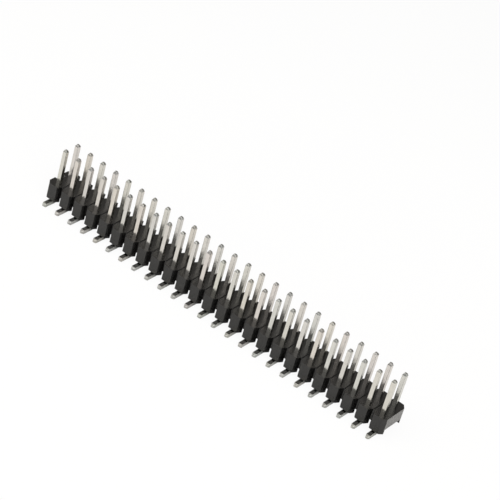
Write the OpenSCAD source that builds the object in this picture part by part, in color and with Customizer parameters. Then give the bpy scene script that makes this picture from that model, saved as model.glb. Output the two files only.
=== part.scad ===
// Surface-mount pin header strip: two rows of bent square pins in one moulded housing.
// The strip runs along X and stands on the undersides of its solder tails at Z = 0.
// The front row of pins is at -Y, the back row at +Y.

/* [Strip] */
// Number of positions along the strip, each with a front and a back pin
positions = 25; // [3:1:29]
// Distance between neighbouring pins of one row
pitch = 2.54; // [2.3:0.01:3.3]
// Distance between the middles of the two rows
row_gap = 2.54; // [2.1:0.01:3.3]

/* [Housing] */
// Distance from the middle of the last pin to the end face
end_margin = 1.25; // [1.1:0.01:1.6]
// Distance from the middle of a row to the side face
side_margin = 1.27; // [1.2:0.01:1.4]
// Height of the housing from the bottom of its feet to its flat top
housing_h = 2.65; // [2.5:0.01:3.3]
// Thickness of the web that holds the pins, measured down from the top
web_t = 1.94; // [1.6:0.01:2.2]
// Clearance between the top of a solder tail and the foot that it passes under
foot_gap = 0.12; // [0.05:0.01:0.3]
// Depth of the feet, from the side face inwards
foot_d = 0.74; // [0.6:0.01:0.75]
// Radius along the lower edges of the feet
foot_r = 0.1; // [0.04:0.01:0.18]
// Width of the notch in the side face between two positions
notch_w = 1.04; // [0.8:0.01:1.2]
// Width of the notch at its floor
notch_floor_w = 0.2; // [0.1:0.01:0.6]
// Depth of the notch, which cuts right through the foot
notch_d = 0.77; // [0.76:0.01:0.85]
// Length along X of the chamfer at each upright corner of the strip
corner_x = 0.5; // [0.3:0.01:0.6]
// Depth along Y of the same chamfer
corner_y = 0.6; // [0.3:0.01:0.8]

/* [Wells] */
// Gap all round a pin in the well that it leaves the web through
well_gap = 0.18; // [0.1:0.01:0.22]
// Depth of the well
well_depth = 0.3; // [0.1:0.01:0.5]

/* [End recess, grooves and pockets] */
// Width of the recess down the -X end face
recess_w = 1.65; // [1:0.01:1.7]
// Depth of that recess
recess_d = 0.75; // [0.2:0.01:0.9]
// Inward lean of each of its two side walls
recess_lean = 0.12; // [0:0.01:0.3]
// Width of the groove across the top between two positions
groove_w = 0.2; // [0.1:0.01:0.4]
// Depth of the groove at its bottom
groove_d = 0.11; // [0.05:0.01:0.2]
// Diameter of the two locating pockets in the underside of the web
pocket_d = 1.55; // [0.8:0.01:1.6]
// Depth of the pockets
pocket_depth = 1.1; // [0.4:0.01:1.2]

/* [Pins] */
// Side of the pin's square section
pin_t = 0.64; // [0.5:0.01:0.77]
// Length of the mating post above the housing
post_h = 5.84; // [3:0.01:12]
// Distance from the middle of a row to the ends of its solder tails
tail_reach = 2.66; // [2.2:0.01:3.2]
// Inner radius of the bend between post and tail
bend_r = 0.25; // [0.1:0.01:0.35]
// Length of the four bevels at the tip of a post
tip_l = 0.4; // [0.2:0.01:0.7]
// Inward run of the bevels at the tip of a post
tip_in = 0.14; // [0.05:0.01:0.2]
// Length of the four bevels at the end of a tail
tail_bevel_l = 0.32; // [0.05:0.01:0.4]
// Inward run of the bevels at the end of a tail
tail_bevel_in = 0.16; // [0.05:0.01:0.2]
// Clearance between a pin and each wall of its hole, zero for a press fit
hole_fit = 0; // [0:0.01:0.04]

/* [Hidden] */
row_y = row_gap / 2;
side_y = row_y + side_margin;
end_x = (positions - 1) / 2 * pitch + end_margin;
foot_y = side_y - foot_d;
foot_z = pin_t + foot_gap;
top_z = foot_z + housing_h;
web_z = top_z - web_t;
tip_z = top_z + post_h;
// The bend's outer radius, which is also the height of its centre
bend_out = bend_r + pin_t;
well_w = pin_t + 2 * well_gap;
// Overshoot of a cutting tool past the face it leaves by
past = 0.5;
$fn = 48;

function two_digits(i) = str(i < 10 ? "0" : "", i);
// Middle of position i, counted from 1 at the -X end
function pin_x(i) = (i - (positions + 1) / 2) * pitch;
// Boundary between position i and the next
function edge_x(i) = pin_x(i + 0.5);
// The same points after half a turn about Z
function turned(points) = [for (p = points) -p];

// The front side from -X to +X: a notch between each two positions, a chamfer at both ends
front_side = [
    [-end_x, corner_y - side_y],
    [corner_x - end_x, -side_y],
    for (i = [1:positions - 1]) each [
        [edge_x(i) - notch_w / 2, -side_y],
        [edge_x(i) - notch_floor_w / 2, notch_d - side_y],
        [edge_x(i) + notch_floor_w / 2, notch_d - side_y],
        [edge_x(i) + notch_w / 2, -side_y]
    ],
    [end_x - corner_x, -side_y],
    [end_x, corner_y - side_y]
];

// The -X end from back to front, with its recess
left_end = [
    [-end_x, recess_w / 2],
    [recess_d - end_x, recess_w / 2 - recess_lean],
    [recess_d - end_x, recess_lean - recess_w / 2],
    [-end_x, -recess_w / 2]
];

// Plan of the housing, anticlockwise from its front left corner
module plan_outline() {
    polygon(concat(front_side, turned(front_side), left_end));
}

// What rounding takes off a corner that lies at the origin
module corner_waste(r) {
    difference() {
        square(2 * r, center = true);
        translate([r, r]) circle(r);
    }
}

// One foot's half of the channel under the web, seen along the strip
module foot_edges() {
    translate([-side_y, foot_z]) corner_waste(foot_r);
    translate([-foot_y, foot_z]) mirror([1, 0]) corner_waste(foot_r);
}

// Section across the strip: a flat top, the web, and a foot down each side
module cross_section() {
    difference() {
        translate([-side_y, foot_z]) square([2 * side_y, housing_h]);
        translate([-foot_y, foot_z - past]) square([2 * foot_y, web_z - foot_z + past]);
        foot_edges();
        mirror([1, 0]) foot_edges();
    }
}

// Stands a profile drawn in Y and Z upright and runs it along X, centred
module along_x(length) {
    rotate([90, 0, 90]) linear_extrude(length, center = true) children();
}

// Puts children at every position of both rows, with +Y as the way outwards
module at_each_pin() {
    for (i = [1:positions], turn = [0, 180])
        translate([pin_x(i), 0, 0]) rotate(turn) translate([0, row_y, 0]) children();
}

// The square hole for one pin, through the web
module pin_hole() {
    side = pin_t + 2 * hole_fit;
    translate([-side / 2, -side / 2, web_z - past]) cube([side, side, web_t + 2 * past]);
}

// The U-shaped well round one pin, which ends at the foot's inner wall
module pin_well() {
    translate([0, 0, web_z - past]) linear_extrude(well_depth + past) {
        circle(d = well_w);
        translate([-well_w / 2, 0]) square([well_w, foot_y - row_y]);
    }
}

// The shallow V-groove across the top at each boundary between two positions
module break_grooves() {
    for (i = [1:positions - 1])
        translate([edge_x(i), 0, top_z]) rotate([90, 0, 0])
            linear_extrude(2 * side_y, center = true) groove_profile();
}

// Its section, carried on upwards at the same slope so that it cuts cleanly out of the top
module groove_profile() {
    grow = 1 + past / groove_d;
    polygon([[0, -groove_d], [grow * groove_w / 2, past], [-grow * groove_w / 2, past]]);
}

// The two blind pockets on the centre line, between the last two positions of each end
module locating_pockets() {
    for (i = [1.5, positions - 0.5])
        translate([pin_x(i), 0, web_z - past]) cylinder(d = pocket_d, h = pocket_depth + past);
}

module housing() {
    color([0.13, 0.13, 0.13]) difference() {
        intersection() {
            linear_extrude(top_z) plan_outline();
            along_x(2 * end_x) cross_section();
        }
        at_each_pin() pin_hole();
        at_each_pin() pin_well();
        break_grooves();
        locating_pockets();
    }
}

// A bar of the pin's width that starts at the origin and has its far end bevelled
module bevelled_bar(length, bevel_l, bevel_in) {
    half = pin_t / 2;
    polygon([
        [-half, 0],
        [half, 0],
        [half, length - bevel_l],
        [half - bevel_in, length],
        [bevel_in - half, length],
        [-half, length - bevel_l]
    ]);
}

// The bent pin from its side: post, quarter ring and tail
module side_profile() {
    tail_y = bend_out - pin_t / 2;
    translate([0, bend_out]) bevelled_bar(tip_z - bend_out, tip_l, tip_in);
    intersection() {
        translate([tail_y, bend_out]) difference() {
            circle(bend_out);
            circle(bend_r);
        }
        translate([-pin_t / 2, 0]) square(bend_out);
    }
    translate([tail_y, pin_t / 2]) rotate(-90)
        bevelled_bar(tail_reach - tail_y, tail_bevel_l, tail_bevel_in);
}

// One pin: its side, front and top outlines, each run through, have the pin in common
module pin() {
    color([0.76, 0.75, 0.72]) intersection() {
        along_x(pin_t) side_profile();
        rotate([90, 0, 0]) linear_extrude(2 * tail_reach, center = true)
            bevelled_bar(tip_z, tip_l, tip_in);
        translate([0, -pin_t, 0]) linear_extrude(tip_z)
            bevelled_bar(tail_reach + pin_t, tail_bevel_l, tail_bevel_in);
    }
}

module pin_front(i) {
    translate([pin_x(i), -row_y, 0]) rotate(180) pin();
}

module pin_back(i) {
    translate([pin_x(i), row_y, 0]) pin();
}

housing();
for (i = [1:positions]) {
    pin_front(i);
    pin_back(i);
}
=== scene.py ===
import math

import bpy
import numpy as np
from mathutils import Matrix, Vector


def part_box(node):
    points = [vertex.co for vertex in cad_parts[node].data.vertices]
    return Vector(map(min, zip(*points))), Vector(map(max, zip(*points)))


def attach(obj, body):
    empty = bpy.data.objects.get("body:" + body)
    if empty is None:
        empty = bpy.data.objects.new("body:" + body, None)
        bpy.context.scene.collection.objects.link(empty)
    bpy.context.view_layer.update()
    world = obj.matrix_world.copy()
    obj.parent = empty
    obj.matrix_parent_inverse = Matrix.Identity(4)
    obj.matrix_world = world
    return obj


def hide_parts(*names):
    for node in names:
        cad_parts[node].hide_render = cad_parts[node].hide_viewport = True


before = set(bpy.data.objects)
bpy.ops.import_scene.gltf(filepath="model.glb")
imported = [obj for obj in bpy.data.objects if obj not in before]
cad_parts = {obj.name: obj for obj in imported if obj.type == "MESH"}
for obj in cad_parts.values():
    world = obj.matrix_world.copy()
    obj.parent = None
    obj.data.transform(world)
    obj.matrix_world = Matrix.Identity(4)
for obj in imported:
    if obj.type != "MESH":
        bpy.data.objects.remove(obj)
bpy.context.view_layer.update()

mm = 0.001  # lengths below are written in millimetres times this
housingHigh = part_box("housing")[1]  # the housing's highest corner
pinNames = sorted(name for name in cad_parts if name.startswith("pin_"))
print("frame loaded:", len(pinNames), "pins in one housing")


camera = {
    "azimuth": 29.8, "elevation": 35.35, "roll": 16.4,  # degrees
    "distance": 312.5 * mm, "lens": 155.3, "sensor": 36.0,
    "aimX": -3.52 * mm, "aimY": 10.99 * mm,  # the point looked at, level with the housing's top
    "near": 1 * mm, "far": 5.0,
}


def makeCamera():
    azimuth, elevation = math.radians(camera["azimuth"]), math.radians(camera["elevation"])
    away = Vector((math.sin(azimuth) * math.cos(elevation),
                   -math.cos(azimuth) * math.cos(elevation), math.sin(elevation)))
    aim = Vector((camera["aimX"], camera["aimY"], housingHigh.z))
    data = bpy.data.cameras.new("camera")
    data.lens, data.sensor_width = camera["lens"], camera["sensor"]
    data.clip_start, data.clip_end = camera["near"], camera["far"]
    obj = bpy.data.objects.new("camera", data)
    bpy.context.scene.collection.objects.link(obj)
    roll = Matrix.Rotation(math.radians(camera["roll"]), 4, "Z")
    obj.matrix_world = (Matrix.Translation(aim + away * camera["distance"])
                        @ away.to_track_quat("Z", "Y").to_matrix().to_4x4() @ roll)
    bpy.context.scene.camera = obj
    print("camera placed")


makeCamera()


# helpers for node trees: a plain value goes to the input's default, a socket is linked to it
def addNode(tree, kind, inputs=(), **settings):
    node = tree.nodes.new("ShaderNode" + kind)
    for key, value in settings.items():
        setattr(node, key, value)
    for key, value in dict(inputs).items():
        if isinstance(value, bpy.types.NodeSocket):
            tree.links.new(value, node.inputs[key])
        else:
            node.inputs[key].default_value = value
    return node


def addMath(tree, operation, *values):
    return addNode(tree, "Math", dict(enumerate(values)), operation=operation).outputs[0]


def addMix(tree, factor, first, second):
    mix = addNode(tree, "Mix", {"Factor": factor, "A": first, "B": second}, data_type="RGBA")
    return mix.outputs["Result"]


# a 0 to 1 pattern turned into a factor round 1, for example 0.85 to 1.15 where the contrast is 0.3
def addContrast(tree, pattern, contrast):
    return addMath(tree, "MULTIPLY_ADD", pattern, contrast, 1 - contrast / 2)


def newMaterial(name, sockets):
    mat = bpy.data.materials.new(name)
    mat.use_nodes = True
    tree = mat.node_tree
    tree.nodes.clear()
    shader = addNode(tree, "BsdfPrincipled", sockets)
    addNode(tree, "OutputMaterial", {"Surface": shader.outputs["BSDF"]})
    return mat, tree, shader


def newGroup(name, inputs, outputs):
    group = bpy.data.node_groups.new(name, "ShaderNodeTree")
    for label, kind, value in inputs:
        socket = group.interface.new_socket(label, in_out="INPUT", socket_type="NodeSocket" + kind)
        if value is not None:
            socket.default_value = value
    for label, kind in outputs:
        group.interface.new_socket(label, in_out="OUTPUT", socket_type="NodeSocket" + kind)
    return group, group.nodes.new("NodeGroupInput"), group.nodes.new("NodeGroupOutput")


def placeGroup(tree, group, inputs):
    return addNode(tree, "Group", inputs, node_tree=group).outputs


noise = {
    "fineDetail": 3.0, "broadDetail": 4.0, "roughness": 0.55,
    "lowest": 0.3, "highest": 0.7,  # the part of the noise's range that is spread to run from 0 to 1
}


# grain: two sizes of noise on stretched coordinates
def makeGrainGroup():
    group, given, out = newGroup(
        "grain",
        [("Coordinates", "Vector", None), ("Stretch", "Vector", (1, 1, 1)),
         ("Fine Scale", "Float", 10000.0), ("Broad Scale", "Float", 800.0)],
        [("Fine", "Float"), ("Broad", "Float")])
    stretched = addNode(group, "VectorMath", {0: given.outputs["Coordinates"], 1: given.outputs["Stretch"]},
                        operation="MULTIPLY")
    for label, detail in (("Fine", noise["fineDetail"]), ("Broad", noise["broadDetail"])):
        cloud = addNode(group, "TexNoise", {
            "Vector": stretched.outputs[0], "Scale": given.outputs[label + " Scale"],
            "Detail": detail, "Roughness": noise["roughness"]})
        spread = addNode(group, "MapRange", {
            "Value": cloud.outputs["Fac"], "From Min": noise["lowest"], "From Max": noise["highest"]})
        group.links.new(spread.outputs["Result"], out.inputs[label])
    return group


edging = {
    "samples": 6,
    "fullTurn": 0.75,  # cosine of the turn of the rounded normal at which the edge mask reaches 1
}


# edges: how far a rounded normal turns away from the face's own, from 0 on a flat to 1 on an edge
def makeEdgeGroup():
    group, given, out = newGroup(
        "edges", [("Width", "Float", 0.05 * mm)], [("Edge", "Float"), ("Normal", "Vector")])
    rounded = addNode(group, "Bevel", {"Radius": given.outputs["Width"]}, samples=edging["samples"])
    face = addNode(group, "NewGeometry")
    along = addNode(group, "VectorMath", {0: rounded.outputs["Normal"], 1: face.outputs["Normal"]},
                    operation="DOT_PRODUCT")
    turned = addNode(group, "MapRange", {
        "Value": along.outputs["Value"], "From Min": 1.0, "From Max": edging["fullTurn"]})
    group.links.new(turned.outputs["Result"], out.inputs["Edge"])
    group.links.new(rounded.outputs["Normal"], out.inputs["Normal"])
    return group


grainGroup = makeGrainGroup()
edgeGroup = makeEdgeGroup()


plastic = {
    "colour": (0.0034, 0.0033, 0.0032), "worn": (0.013, 0.0127, 0.0122), "ior": 1.5,
    "roughness": 0.19, "roughest": 0.28,
    "grain": 0.035 * mm, "mottle": 1.1 * mm,  # sizes of the spark-eroded grain and of the broad mottling
    "mottleContrast": 0.3,
    "edge": 0.03 * mm, "bump": 0.004 * mm,
    # painted light: the face at the +X end is painted lighter grey, as if lit from the right
    "cut": (0.13, 0.13, 0.13), "endLightContrast": 0.5,
    "endLightDepth": 0.02 * mm,  # how near the +X end a face lies to be painted lighter
    "endLightStreakScale": 9000.0, "endLightStreakStretch": (1, 0.12, 1),  # the streaks on the lighter end run along Y
    # the grooves across the top
    "grooveRoughness": 0.6,
    "grooveSlope": 0.25,  # least product of the X and Z parts of a normal on a groove's wall
}


def makePlastic():
    mat, tree, shader = newMaterial("housing_plastic", {"IOR": plastic["ior"]})
    place = addNode(tree, "TexCoord").outputs["Object"]
    grain = placeGroup(tree, grainGroup, {
        "Coordinates": place, "Fine Scale": 1 / plastic["grain"], "Broad Scale": 1 / plastic["mottle"]})
    edges = placeGroup(tree, edgeGroup, {"Width": plastic["edge"]})
    # only the grooves' walls face partly along the strip and partly up; they are dull and don't wear
    facing = addNode(tree, "SeparateXYZ", {0: addNode(tree, "NewGeometry").outputs["True Normal"]}).outputs
    sloping = addMath(tree, "ABSOLUTE", addMath(tree, "MULTIPLY", facing["X"], facing["Z"]))
    groove = addMath(tree, "GREATER_THAN", sloping, plastic["grooveSlope"])
    edge = addMath(tree, "MULTIPLY", edges["Edge"], addMath(tree, "SUBTRACT", 1.0, groove))
    wear = addMath(tree, "MULTIPLY", edge, grain["Broad"])
    skin = addNode(tree, "VectorMath", {
        0: addMix(tree, wear, (*plastic["colour"], 1), (*plastic["worn"], 1)),
        "Scale": addContrast(tree, grain["Broad"], plastic["mottleContrast"])}, operation="SCALE")
    # painted light: the +X end face is painted lighter grey, as if lit from the right, with streaks running
    # along Y
    along = addNode(tree, "SeparateXYZ", {0: place}).outputs["X"]
    cut = addMath(tree, "GREATER_THAN", along, housingHigh.x - plastic["endLightDepth"])
    endLightStreaks = placeGroup(tree, grainGroup, {
        "Coordinates": place, "Stretch": plastic["endLightStreakStretch"], "Fine Scale": plastic["endLightStreakScale"]})
    paintedEndLight = addNode(tree, "VectorMath", {
        0: plastic["cut"], "Scale": addContrast(tree, endLightStreaks["Fine"], plastic["endLightContrast"])},
        operation="SCALE")
    tree.links.new(addMix(tree, cut, skin.outputs[0], paintedEndLight.outputs[0]), shader.inputs["Base Color"])
    moulded = addNode(tree, "MapRange", {
        "Value": grain["Broad"], "To Min": plastic["roughness"], "To Max": plastic["roughest"]})
    rough = addNode(tree, "MapRange", {
        "Value": groove, "To Min": moulded.outputs["Result"], "To Max": plastic["grooveRoughness"]})
    tree.links.new(rough.outputs["Result"], shader.inputs["Roughness"])
    bump = addNode(tree, "Bump", {
        "Height": grain["Fine"], "Distance": plastic["bump"], "Strength": 1.0, "Normal": edges["Normal"]})
    tree.links.new(bump.outputs["Normal"], shader.inputs["Normal"])
    return mat


tin = {
    "bright": (0.685, 0.668, 0.634), "dull": (0.555, 0.54, 0.508),
    "roughness": 0.15, "roughest": 0.24,
    "streakWidth": 0.035 * mm, "streakLength": 2.5 * mm, "bump": 0.0012 * mm,
    "smudgeScale": 1500.0,
    "streakShare": 0.45, "smudgeShare": 0.4,  # how much of the dull tint each of the two brings
    "tintSpread": 0.028,  # the plating of one pin is a little greener or redder than the next one's
    "shift": 100 * mm,  # how far apart two pins may lie in the streaks' pattern
    "plain": (0.43, 0.433, 0.418),  # darker tin on the bevelled ends, and painted shade along the solder tails
    # how far the tail goes to the darker tin of its painted shade, and the ends' roughness
    "tailShadeShare": 0.95, "endRoughness": 0.36,
}


def makeTin():
    mat, tree, shader = newMaterial("tinned_pin", {"Metallic": 1.0})
    wire = addNode(tree, "UVMap", uv_map="wire").outputs["UV"]  # metres round the wire and along it
    # tint holds three numbers from -1 to 1 that differ from pin to pin
    tint = addNode(tree, "Attribute", attribute_name="tint", attribute_type="GEOMETRY").outputs["Vector"]
    own = addNode(tree, "SeparateXYZ", {0: tint}).outputs
    shift = addNode(tree, "CombineXYZ", {"Z": addMath(tree, "MULTIPLY", own["Z"], tin["shift"])})
    shifted = addNode(tree, "VectorMath", {0: wire, 1: shift.outputs[0]}, operation="ADD").outputs[0]
    streaks = placeGroup(tree, grainGroup, {
        "Coordinates": shifted, "Stretch": (1, tin["streakWidth"] / tin["streakLength"], 1),
        "Fine Scale": 1 / tin["streakWidth"]})
    smudges = placeGroup(tree, grainGroup, {"Coordinates": shifted, "Broad Scale": tin["smudgeScale"]})
    dullness = addMath(tree, "MULTIPLY_ADD", streaks["Fine"], tin["streakShare"],
                       addMath(tree, "MULTIPLY", smudges["Broad"], tin["smudgeShare"]))
    post = addMix(tree, dullness, (*tin["bright"], 1), (*tin["dull"], 1))
    # this attribute holds 1 in X on the bevelled ends, which are darker and rougher, and 1 in Y on the tail,
    # where it sets the tail's painted shade
    endMaskAndTailShade = addNode(tree, "Attribute", attribute_name="endMaskAndTailShade", attribute_type="GEOMETRY").outputs["Vector"]
    part = addNode(tree, "SeparateXYZ", {0: endMaskAndTailShade}).outputs
    darkEndsAndTailShade = addMath(tree, "MAXIMUM", part["X"], addMath(tree, "MULTIPLY", part["Y"], tin["tailShadeShare"]))
    tinWithDarkEndsAndShadedTail = addMix(tree, darkEndsAndTailShade, post, (*tin["plain"], 1))
    hue = addNode(tree, "CombineXYZ", {
        "X": addMath(tree, "MULTIPLY_ADD", own["X"], tin["tintSpread"], 1.0),
        "Y": 1.0,
        "Z": addMath(tree, "MULTIPLY_ADD", own["Y"], tin["tintSpread"], 1.0)})
    colour = addNode(tree, "VectorMath", {0: tinWithDarkEndsAndShadedTail, 1: hue.outputs[0]}, operation="MULTIPLY")
    tree.links.new(colour.outputs[0], shader.inputs["Base Color"])
    drawn = addNode(tree, "MapRange", {
        "Value": dullness, "From Max": tin["streakShare"] + tin["smudgeShare"],
        "To Min": tin["roughness"], "To Max": tin["roughest"]})
    rough = addNode(tree, "MapRange", {
        "Value": part["X"], "To Min": drawn.outputs["Result"], "To Max": tin["endRoughness"]})
    tree.links.new(rough.outputs["Result"], shader.inputs["Roughness"])
    bump = addNode(tree, "Bump", {"Height": streaks["Fine"], "Distance": tin["bump"], "Strength": 1.0})
    tree.links.new(bump.outputs["Normal"], shader.inputs["Normal"])
    return mat


plasticMaterial = makePlastic()
tinMaterial = makeTin()
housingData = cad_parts["housing"].data
housingData.materials.clear()
housingData.materials.append(plasticMaterial)
print("materials made")


wireShape = {
    "bendRadius": 0.25 * mm,  # inside the bend
    "cornerRadius": 0.04 * mm,  # along the wire's four edges
    "endRadius": 0.06 * mm,  # round the two ends
    "tipLength": 0.32 * mm, "tipInset": 0.14 * mm,
    "tailLength": 0.32 * mm, "tailInset": 0.16 * mm,
    "cutSpread": 0.22,  # each end's bevels are up to this share longer or shorter
    "bevelSoftness": 0.06,  # share of a bevel's length over which it starts softly
    "cornerGrowth": 0.25,  # how fast the edges' radius grows where the wire narrows
    "cornerShare": 0.6,  # the most of the half width that the edges' radius may take
    "endFlat": 0.4,  # how far the ring inside a flat end lies in from its rim, as a share of its half width
    "cornerSteps": 4, "bendSteps": 14, "postSteps": 8, "tailSteps": 3, "bevelSteps": 4, "endSteps": 4,
    "margin": 0.03 * mm,  # between an edge and the first ring or column of the flat beside it
    "ringsRoundEdge": (-0.4, 0.0, 0.4, 1.0),  # rings at the start of a bevel, in margins
    "seed": 7,
}


# the post's middle in plan, which way its tail points, the wire's thickness, how far the tail reaches
# from the post's middle, and the pin's lowest and highest points
def wirePlace(name):
    low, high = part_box(name)
    outward = 1.0 if name.startswith("pin_back") else -1.0
    thick = high.x - low.x
    rowY = low.y + thick / 2 if outward > 0 else high.y - thick / 2
    reach = high.y - rowY if outward > 0 else rowY - low.y
    return (low.x + high.x) / 2, rowY, outward, thick, reach, low.z, high.z


# distances from one end of the wire at which rings stand, close together where its outline turns
def endStations(bevelLength):
    r, margin = wireShape["endRadius"], wireShape["margin"]
    rounding = r * (1 - np.cos(np.linspace(0, np.pi / 2, wireShape["endSteps"] + 1)))
    bevel = np.linspace(r, bevelLength - margin, wireShape["bevelSteps"])[1:]
    return np.concatenate([rounding, bevel, bevelLength + margin * np.array(wireShape["ringsRoundEdge"])])


# how much narrower than its full half width the wire is at a distance from its end: a straight bevel
# that starts softly, and the part that a quarter circle takes off the last endRadius
def endInset(distance, bevelLength, bevelInset):
    r, softness = wireShape["endRadius"], wireShape["bevelSoftness"]
    run = (bevelLength - distance) / bevelLength
    bevel = bevelInset * (run + np.sqrt(run ** 2 + softness ** 2)) / 2
    return bevel + r - np.sqrt(np.maximum(r ** 2 - np.clip(r - distance, 0, r) ** 2, 0))


# A rounded square carried along a path: straight up the tail's middle line, round a quarter circle and
# straight up the post. Column j runs round the square, ring i along the path; a point is the path's
# point plus the square's two coordinates along the X axis and along the path's upper normal.
def wireSurface(x, rowY, outward, thick, reach, low, high, cut):
    half, bend = thick / 2, wireShape["bendRadius"] + thick / 2
    tailLength, tipLength = (wireShape[key] * (1 + wireShape["cutSpread"] * share)
                             for key, share in zip(("tailLength", "tipLength"), cut))
    tail, arc = reach - bend, bend * np.pi / 2
    post = high - low - half - bend
    total = tail + arc + post
    tailEnd = endStations(tailLength)
    tipEnd = total - endStations(tipLength)[::-1]
    station = np.concatenate([
        tailEnd, np.linspace(tailEnd[-1], tail, wireShape["tailSteps"] + 1)[1:],
        np.linspace(tail, tail + arc, wireShape["bendSteps"] + 1)[1:],
        np.linspace(tail + arc, tipEnd[0], wireShape["postSteps"] + 1)[1:-1], tipEnd])
    inset = (endInset(station, tailLength, wireShape["tailInset"])
             + endInset(total - station, tipLength, wireShape["tipInset"]))
    # a smaller ring inside each end's last ring keeps the flat end flat
    station = np.concatenate([station[:1], station, station[-1:]])
    first, last = (inset[end] + wireShape["endFlat"] * (half - inset[end]) for end in (0, -1))
    inset = np.concatenate([[first], inset, [last]])
    width = half - inset
    corner = np.minimum(wireShape["cornerRadius"] + wireShape["cornerGrowth"] * inset,
                        wireShape["cornerShare"] * width)

    angle = np.clip(station - tail, 0, arc) / bend
    alongTail, alongPost = np.clip(station, 0, tail), np.clip(station - tail - arc, 0, post)
    middleY = reach - alongTail - bend * np.sin(angle)
    middleZ = half + bend * (1 - np.cos(angle)) + alongPost

    steps = np.linspace(0, np.pi / 2, wireShape["cornerSteps"] + 1)
    turn = (np.arange(4)[:, None] * np.pi / 2 + np.concatenate([[0], steps, [np.pi / 2]])[None, :]).ravel()
    quarter = np.repeat(np.arange(4), len(steps) + 2)
    signA, signB = np.array([1, -1, -1, 1])[quarter], np.array([1, 1, -1, -1])[quarter]
    # the first and the last column of each quarter lie a margin along the flats
    lead = np.zeros((4, len(steps) + 2))
    lead[:, 0], lead[:, -1] = -1, 1
    lead = lead.ravel() * wireShape["margin"]
    core = (width - corner)[:, None]
    across = signA * core + corner[:, None] * np.cos(turn) - lead * np.sin(turn)
    normal = signB * core + corner[:, None] * np.sin(turn) + lead * np.cos(turn)

    points = np.empty((len(station), len(turn), 3))
    points[:, :, 0] = x + across
    points[:, :, 1] = rowY + outward * (middleY[:, None] + normal * np.sin(angle)[:, None])
    points[:, :, 2] = low + middleZ[:, None] + normal * np.cos(angle)[:, None]
    # 1 on the ends' bevels; 1 on the tail, falling to 0 round the bend, for the tail's painted shade
    ends = (station < tailLength) | (total - station < tipLength)
    endMaskAndTailShade = np.stack([ends, np.cos(angle), np.zeros(len(station))], -1)
    return points, station, endMaskAndTailShade


# a closed tube of quads over the grid of points, with a flat face at each end
def gridMesh(name, points, station, flip):
    rings, columns = points.shape[:2]
    i, j = np.meshgrid(np.arange(rings - 1), np.arange(columns), indexing="ij")
    right = (j + 1) % columns
    quads = np.stack([i * columns + j, i * columns + right,
                      (i + 1) * columns + right, (i + 1) * columns + j], -1)
    # metres round the wire, worked out at its full width, and metres along it
    middle = points[rings // 2]
    step = np.linalg.norm(np.roll(middle, -1, axis=0) - middle, axis=1)
    around = np.concatenate([[0], np.cumsum(step)])
    uv = np.stack([np.stack([around[j + side], station[i + further]], -1)
                   for side, further in ((0, 0), (1, 0), (1, 1), (0, 1))], -2)
    quads, uv = quads.reshape(-1, 4), uv.reshape(-1, 4, 2)
    ends = [np.arange(columns)[::-1], (rings - 1) * columns + np.arange(columns)]
    if flip:
        quads, uv, ends = quads[:, ::-1], uv[:, ::-1], [end[::-1] for end in ends]
    mesh = bpy.data.meshes.new(name)
    mesh.from_pydata(points.reshape(-1, 3).tolist(), [], quads.tolist() + [end.tolist() for end in ends])
    layer = mesh.uv_layers.new(name="wire")
    endUv = np.stack([np.tile(around[:-1], 2), np.repeat(station[[0, -1]], columns)], -1)
    layer.data.foreach_set("uv", np.concatenate([uv.reshape(-1, 2), endUv]).astype(np.float32).ravel())
    mesh.polygons.foreach_set("use_smooth", np.ones(len(mesh.polygons), dtype=bool))
    mesh.update()
    return mesh


def makeWires():
    # five numbers a pin: three for its tint, and one for the bevels of each end
    spreads = np.random.default_rng(wireShape["seed"]).uniform(-1, 1, (len(pinNames), 5))
    for name, spread in zip(pinNames, spreads):
        tint, cut = spread[:3], spread[3:]
        place = wirePlace(name)
        outward = place[2]
        points, station, endMaskAndTailShade = wireSurface(*place, cut)
        mesh = gridMesh(name.replace("pin", "wire"), points, station, flip=outward > 0)
        for label, values in (("tint", np.tile(tint, (len(mesh.vertices), 1))),
                              ("endMaskAndTailShade", np.repeat(endMaskAndTailShade, points.shape[1], axis=0))):
            layer = mesh.attributes.new(label, "FLOAT_VECTOR", "POINT")
            layer.data.foreach_set("vector", values.astype(np.float32).ravel())
        mesh.materials.append(tinMaterial)
        wire = bpy.data.objects.new(mesh.name, mesh)
        bpy.context.scene.collection.objects.link(wire)
        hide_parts(name)
        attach(wire, "root")
    print("wires swept:", len(pinNames), "of", len(mesh.polygons), "faces each")


makeWires()


studio = {
    "floorSize": 3.0,  # metres from the middle to each side
    "floorGrey": 0.93, "floorRoughness": 0.9,
    "lightPoolFrom": 60 * mm, "lightPoolTo": 220 * mm, "outsidePoolGrey": 0.35,  # painted pool of light: the floor's colour darkens away from the strip
    "glow": 0.92,  # how much of the floor's white is its own, to the camera alone
    # the surround's light by the height looked to: at the horizon, at a third, at half, and overhead
    "surround": ((0.0, 0.30), (0.30, 0.10), (0.55, 0.06), (0.85, 0.75)), "warmth": (1.0, 0.96, 0.90),
}


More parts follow.
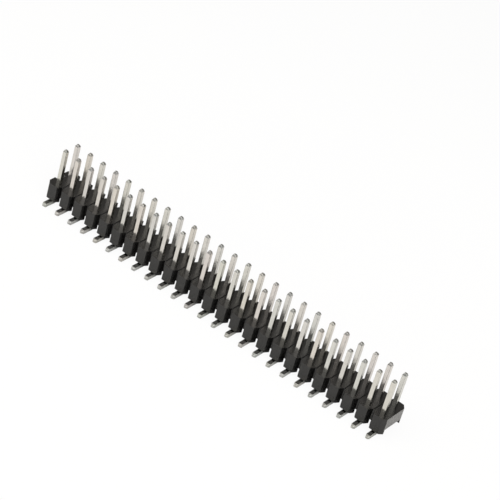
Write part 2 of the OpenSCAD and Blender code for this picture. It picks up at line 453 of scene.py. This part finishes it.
def makeFloor():
    size = studio["floorSize"]
    corners = size * np.array([(-1, -1, 0), (1, -1, 0), (1, 1, 0), (-1, 1, 0)])
    mesh = bpy.data.meshes.new("floor")
    mesh.from_pydata(corners.tolist(), [], [(0, 1, 2, 3)])
    floor = bpy.data.objects.new("floor", mesh)
    bpy.context.scene.collection.objects.link(floor)
    mat, tree, shader = newMaterial(
        "floor_white", {"Roughness": studio["floorRoughness"], "Specular IOR Level": 0.0})
    place = addNode(tree, "TexCoord").outputs["Object"]
    away = addNode(tree, "VectorMath", {0: place}, operation="LENGTH").outputs["Value"]
    # painted pool of light: the floor is painted darker away from the strip
    paintedLightPool = addNode(tree, "MapRange", {
        "Value": away, "From Min": studio["lightPoolFrom"], "From Max": studio["lightPoolTo"],
        "To Min": studio["floorGrey"], "To Max": studio["outsidePoolGrey"]})
    tree.links.new(paintedLightPool.outputs["Result"], shader.inputs["Base Color"])
    seen = addMath(tree, "MULTIPLY", addNode(tree, "LightPath").outputs["Is Camera Ray"], studio["glow"])
    glow = addNode(tree, "Emission", {"Color": (1, 1, 1, 1), "Strength": 1.0})
    mix = addNode(tree, "MixShader", {0: seen, 1: shader.outputs["BSDF"], 2: glow.outputs["Emission"]})
    tree.links.new(mix.outputs[0], tree.nodes["Material Output"].inputs["Surface"])
    mesh.materials.append(mat)


# square lamps that face the middle of the strip; places and sizes in metres, power in watts
lamps = {
    "key": {"place": (0.34, -0.26, 0.36), "size": 0.45, "power": 2.3, "colour": (1.0, 0.99, 0.965)},
    "fill": {"place": (-0.42, -0.10, 0.26), "size": 0.40, "power": 0.6, "colour": (1.0, 1.0, 1.0)},
    "front": {"place": (-0.20, -0.36, 0.30), "size": 0.35, "power": 0.8, "colour": (1.0, 0.97, 0.92)},
    "back": {"place": (-0.20, 0.36, 0.30), "size": 0.40, "power": 0.12, "colour": (1.0, 0.94, 0.86)},
}


def makeLights():
    world = bpy.data.worlds.new("studio")
    bpy.context.scene.world = world
    world.use_nodes = True
    tree = world.node_tree
    height = addNode(tree, "SeparateXYZ", {0: addNode(tree, "TexCoord").outputs["Generated"]}).outputs["Z"]
    ramp = addNode(tree, "ValToRGB", {"Fac": height})
    stops = ramp.color_ramp.elements
    # two stops are there from the start, and each one's own position is set below
    while len(stops) < len(studio["surround"]):
        stops.new(0.5)
    for stop, (position, strength) in zip(stops, studio["surround"]):
        stop.position, stop.color = position, (*[strength * part for part in studio["warmth"]], 1)
    # the camera itself sees plain white past the floor
    seen = addNode(tree, "LightPath").outputs["Is Camera Ray"]
    light = addMix(tree, seen, ramp.outputs["Color"], (1, 1, 1, 1))
    tree.links.new(light, tree.nodes["Background"].inputs["Color"])
    for name, lamp in lamps.items():
        data = bpy.data.lights.new(name, "AREA")
        data.shape, data.size, data.energy, data.color = "SQUARE", lamp["size"], lamp["power"], lamp["colour"]
        obj = bpy.data.objects.new(name, data)
        place = Vector(lamp["place"])
        obj.matrix_world = Matrix.Translation(place) @ place.to_track_quat("Z", "Y").to_matrix().to_4x4()
        bpy.context.scene.collection.objects.link(obj)


makeFloor()
makeLights()
print("floor and lights set")
bpy.context.scene.view_settings.view_transform = "Standard"
